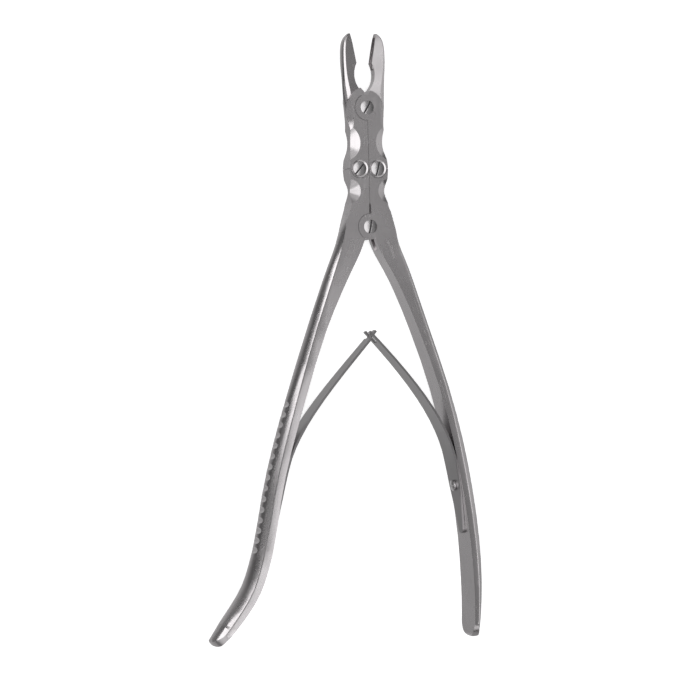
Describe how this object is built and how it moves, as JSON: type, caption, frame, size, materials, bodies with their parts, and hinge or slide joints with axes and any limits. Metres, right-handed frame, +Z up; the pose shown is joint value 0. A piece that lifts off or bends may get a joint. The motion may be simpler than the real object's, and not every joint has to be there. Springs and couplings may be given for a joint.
{
  "type": "bone rongeur",
  "caption": "Double-action bone rongeur: cupped jaws, bowed grips with serrated backs, screw pivots and a pair of crossing leaf springs that hold it open.",
  "frame": {"origin": "middle of the footprint of the open instrument, on the surface that it lies on", "axes": "+Y runs from the grips to the jaws, +Z is up through the depth of the head, +X is to the right with the jaws pointing away"},
  "size_m": [0.112, 0.2366, 0.0132],
  "materials": {
    "satin_steel": "satin ground",
    "polished_steel": "bright turned",
    "spring_steel": "satin rolled"
  },
  "bodies": {
    "left_handle": {"left_handle": "satin_steel", "left_leaf_foot": "spring_steel", "left_spring_screw": "polished_steel"},
    "right_handle": {"right_handle": "satin_steel", "handle_pivot_screw": "polished_steel", "right_leaf_foot": "spring_steel", "right_spring_screw": "polished_steel"},
    "left_jaw": {"left_jaw": "satin_steel", "left_link_screw": "polished_steel"},
    "right_jaw": {"right_jaw": "satin_steel", "jaw_pivot_screw": "polished_steel", "right_link_screw": "polished_steel"},
    "left_blade": {"left_leaf_blade": "spring_steel"},
    "right_blade": {"right_leaf_blade": "spring_steel"}
  },
  "joints": [
    {"name": "handle_squeeze", "type": "hinge", "parent": "left_handle", "child": "right_handle", "pos_m": [0.01244, 0.04318, 0.00662], "axis": [0, 0, -1], "range_deg": [0, 21.85], "stiffness_Nm_per_rad": 2.5, "springref_deg": -8.59},
    {"name": "left_link_pivot", "type": "hinge", "parent": "left_handle", "child": "left_jaw", "pos_m": [0.0087, 0.06568, 0.00662], "axis": [0, 0, -1], "range_deg": [0, 21.29]},
    {"name": "jaw_pivot", "type": "hinge", "parent": "left_jaw", "child": "right_jaw", "pos_m": [0.01244, 0.08935, 0.00662], "axis": [0, 0, 1], "range_deg": [0, 20.73]},
    {"name": "left_leaf_flex", "type": "hinge", "parent": "left_handle", "child": "left_blade", "pos_m": [-0.01944, -0.03723, 0.00662], "axis": [0, 0, 1], "range_deg": [0, 8.73]},
    {"name": "right_leaf_flex", "type": "hinge", "parent": "right_handle", "child": "right_blade", "pos_m": [0.04109, -0.03705, 0.00662], "axis": [0, 0, -1], "range_deg": [0, 11.72]}
  ],
  "couplings": [
    {"joint": "left_link_pivot", "follows": "handle_squeeze", "ratio": 0.97424},
    {"joint": "jaw_pivot", "follows": "handle_squeeze", "ratio": 0.94848},
    {"joint": "left_leaf_flex", "follows": "handle_squeeze", "ratio": 0.399},
    {"joint": "right_leaf_flex", "follows": "handle_squeeze", "ratio": 0.53627}
  ]
}
